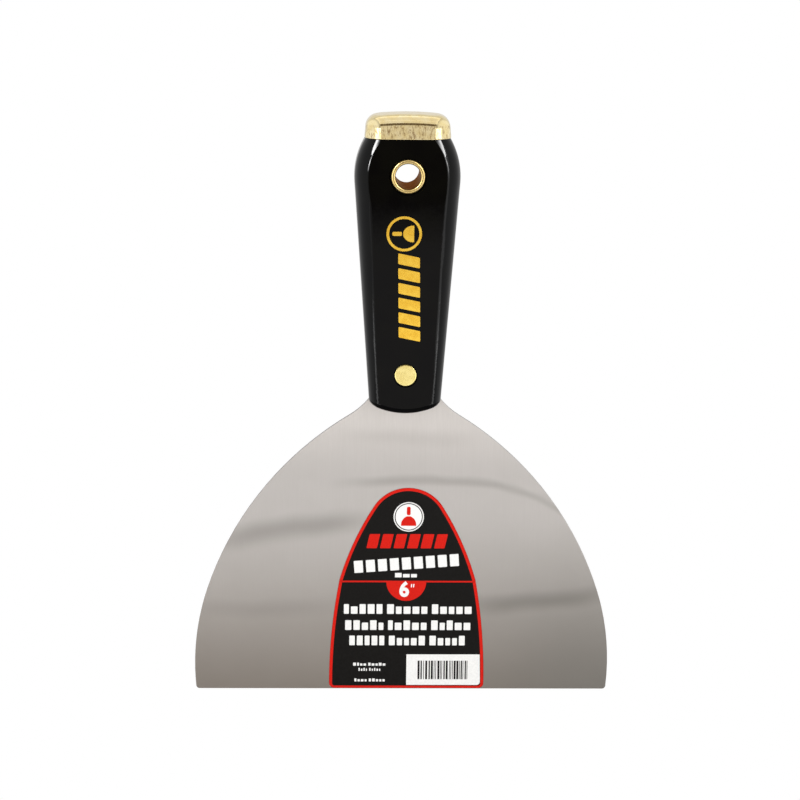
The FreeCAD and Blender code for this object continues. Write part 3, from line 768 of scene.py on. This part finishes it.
# A softbox has its bearing, to the right of the front, and its elevation in degrees. A card lies just
# above the floor, between two distances in front of the knife. lights is the group of pieces that the
# lamp lights (see lit_groups), or None for everything. No single real set of lamps would do all of this.
LAMPS = (
    Softbox("softbox_top", 180, 86, 1.4, 1.6, 1.4, 0.72, None),
    Softbox("softbox_right_nylon", 43, 8, 1.28, 1.0, 1.15, 1.4, "scales"),
    Softbox("softbox_right", 43, 8, 1.28, 1.0, 1.15, 1.4, "below_cap"),
    Softbox("softbox_left", -43, 8, 1.28, 1.0, 1.15, 1.66, "below_cap"),
    Softbox("strip_left", -42, 30, 1.5, 0.14, 0.62, 33.0, "below_cap"),
    Softbox("strip_right", 42, 30, 1.5, 0.30, 0.62, 13.7, "below_cap"),
    Softbox("glint_cap_left", -40, -2.5, 1.25, 0.8, 0.40, 1.5, "cap"),
    Softbox("glint_cap_right", 40, -2.5, 1.25, 0.8, 0.40, 1.5, "cap"),
    Softbox("softbox_front", 0, 47, 1.3, 0.9, 0.88, 0.72, "below_cap"),
    Card("card_metal", 0.30, 1.40, 1.4, 1.08, "all_but_scales"),
    Softbox("softbox_cap_low", 0, 8.3, 1.31, 1.2, 0.80, 0.62, "cap"),
    Softbox("softbox_cap_high", 0, 56, 1.38, 1.5, 0.62, 0.72, "cap"),
    Softbox("shine_left", -38, 22.5, 1.5, 0.65, 1.06, 90.0, "scales"),
    Softbox("shine_right", 40, 16, 1.5, 0.85, 1.40, 62.0, "scales"),
    Card("card_nylon", 0.50, 1.225, 1.4, 0.68, "scales"),
    Card("card_lip", 0.46, 0.62, 1.4, 6.0, "scales"),
)

# Softboxes that fade across their face, as fade() takes it: sideways, then upwards.
FADES = {
    "shine_left": ((0.25, 1.0), (0.25, -0.1)),
    "shine_right": ((0.9, 0.0), (0.6, 0.0)),
}


def make_camera():
    data = bpy.data.cameras.new("camera")
    data.lens = LENS
    data.sensor_width = 36.0
    data.clip_end = 20.0
    camera = bpy.data.objects.new("camera", data)
    bpy.context.scene.collection.objects.link(camera)
    flat = math.cos(CAMERA_ELEVATION)
    back = Vector((math.sin(CAMERA_AZIMUTH) * flat, -math.cos(CAMERA_AZIMUTH) * flat,
                   math.sin(CAMERA_ELEVATION)))
    right = (-back).cross(Vector((0, 0, 1))).normalized()
    up = right.cross(-back)
    rolled_right = right * math.cos(CAMERA_ROLL) + up * math.sin(CAMERA_ROLL)
    rolled_up = up * math.cos(CAMERA_ROLL) - right * math.sin(CAMERA_ROLL)
    turn = Matrix((rolled_right, rolled_up, back)).transposed().to_4x4()
    camera.matrix_world = Matrix.Translation(CAMERA_TARGET + back * CAMERA_DISTANCE) @ turn
    bpy.context.scene.camera = camera


def lit_groups():
    """Collections of pieces by name, for lamps that light nothing else; none holds the floor.

    below_cap is the steel, rivet, eyelet, label and prints: all but the scales and the cap."""
    cap = [NODES["hammer_cap"]]
    scales = [NODES["front_scale"], NODES["back_scale"]]
    others = [piece for piece in bpy.context.scene.objects
              if piece.type == "MESH" and piece not in scales and piece.name != "floor"]
    groups = {
        "scales": scales,
        "all_but_scales": others,
        "cap": cap,
        "below_cap": [piece for piece in others if piece not in cap],
    }
    collections = {}
    for name, pieces in groups.items():
        collections[name] = bpy.data.collections.new(name)
        for piece in pieces:
            collections[name].objects.link(piece)
    return collections


def fade(data, sideways, upwards):
    """Dims a lamp across its face, from full at the first part of each pair to none at the second."""
    data.use_nodes = True
    g = Graph(data.node_tree)
    face = g.axes(g.add("ShaderNodeNewGeometry").outputs["Parametric"])
    steps = [g.math("POWER", g.ramp(face[k], none, full), 2.0)
             for k, (full, none) in enumerate((sideways, upwards))]
    g.feed(g.tree.nodes["Emission"].inputs["Strength"], g.math("MULTIPLY", *steps))


def area_lamp(name, width, height, radiance, group):
    """Rectangular lamp of a given radiance that the camera doesn't see."""
    data = bpy.data.lights.new(name, "AREA")
    data.shape = "RECTANGLE"
    data.size = width
    data.size_y = height
    data.energy = radiance * math.pi * width * height
    lamp = bpy.data.objects.new(name, data)
    lamp.visible_camera = False
    if group:
        lamp.light_linking.receiver_collection = group
    bpy.context.scene.collection.objects.link(lamp)
    return lamp


def make_softbox(name, bearing, elevation, distance, width, height, radiance, group):
    """Soft lamp aimed at the middle of the knife."""
    lamp = area_lamp(name, width, height, radiance, group)
    flat = math.cos(math.radians(elevation))
    away = Vector((math.sin(math.radians(bearing)) * flat, -math.cos(math.radians(bearing)) * flat,
                   math.sin(math.radians(elevation))))
    lamp.location = LAMP_AIM + away * distance
    lamp.rotation_euler = (-away).to_track_quat("-Z", "Y").to_euler()
    if name in FADES:
        fade(lamp.data, *FADES[name])


def make_card(name, near, far, width, radiance, group):
    """Bright card just above the floor in front of the knife, between two distances, facing up."""
    card = area_lamp(name, width, far - near, radiance, group)
    card.location = (0.0, -(near + far) / 2, CARD_HEIGHT)
    card.rotation_euler = (math.pi, 0.0, 0.0)


def make_floor():
    """Floor that the camera sees as clean white, and that lights the object softly from below."""
    data = bpy.data.meshes.new("floor")
    corners = [(-FLOOR_REACH, -FLOOR_REACH, FLOOR_HEIGHT), (FLOOR_REACH, -FLOOR_REACH, FLOOR_HEIGHT),
               (FLOOR_REACH, FLOOR_REACH, FLOOR_HEIGHT), (-FLOOR_REACH, FLOOR_REACH, FLOOR_HEIGHT)]
    data.from_pydata(corners, [], [(0, 1, 2, 3)])
    floor = bpy.data.objects.new("floor", data)
    bpy.context.scene.collection.objects.link(floor)
    g = MaterialGraph("floor_paper")
    g.shade(Base_Color=rgba(0.32, 0.32, 0.32), Roughness=0.9)
    glow = g.add("ShaderNodeEmission", {"Color": WHITE, "Strength": 1.0})
    seen = g.add("ShaderNodeLightPath").outputs["Is Camera Ray"]
    mix = g.add("ShaderNodeMixShader", {0: seen, 1: g.shader.outputs[0], 2: glow.outputs[0]})
    g.feed(g.tree.nodes["Material Output"].inputs["Surface"], mix.outputs[0])
    data.materials.append(g.material)


def make_world():
    """Plain white to the camera. Reflections see white walls at both sides, a dimmer one behind the
    knife, and a dark brown field in front of it."""
    world = bpy.data.worlds.new("studio")
    bpy.context.scene.world = world
    world.use_nodes = True
    g = Graph(world.node_tree)
    g.tree.nodes.clear()
    sideways, backwards, _ = g.axes(g.add("ShaderNodeTexCoord").outputs["Generated"])
    sides = g.ramp(g.math("ABSOLUTE", sideways), 0.30, 0.75)
    behind = g.ramp(backwards, 0.0, 0.8, 0.0, 0.75)
    reflected = g.blend(g.math("MAXIMUM", sides, behind), DARK_FIELD, WHITE)
    lit = g.add("ShaderNodeBackground", {"Color": reflected})
    plain = g.add("ShaderNodeBackground", {"Color": WHITE})
    seen = g.add("ShaderNodeLightPath").outputs["Is Camera Ray"]
    mix = g.add("ShaderNodeMixShader", {0: seen, 1: lit.outputs[0], 2: plain.outputs[0]})
    g.add("ShaderNodeOutputWorld", {"Surface": mix.outputs[0]})


def make_studio():
    make_camera()
    make_floor()
    make_world()
    groups = lit_groups()
    makers = {Softbox: make_softbox, Card: make_card}
    for lamp in LAMPS:
        *shape, group = lamp
        makers[type(lamp)](*shape, groups.get(group))
    view = bpy.context.scene.view_settings
    view.view_transform = "Standard"
    view.look = "None"


dress_nodes()
make_label_prints()
make_handle_print()
make_studio()
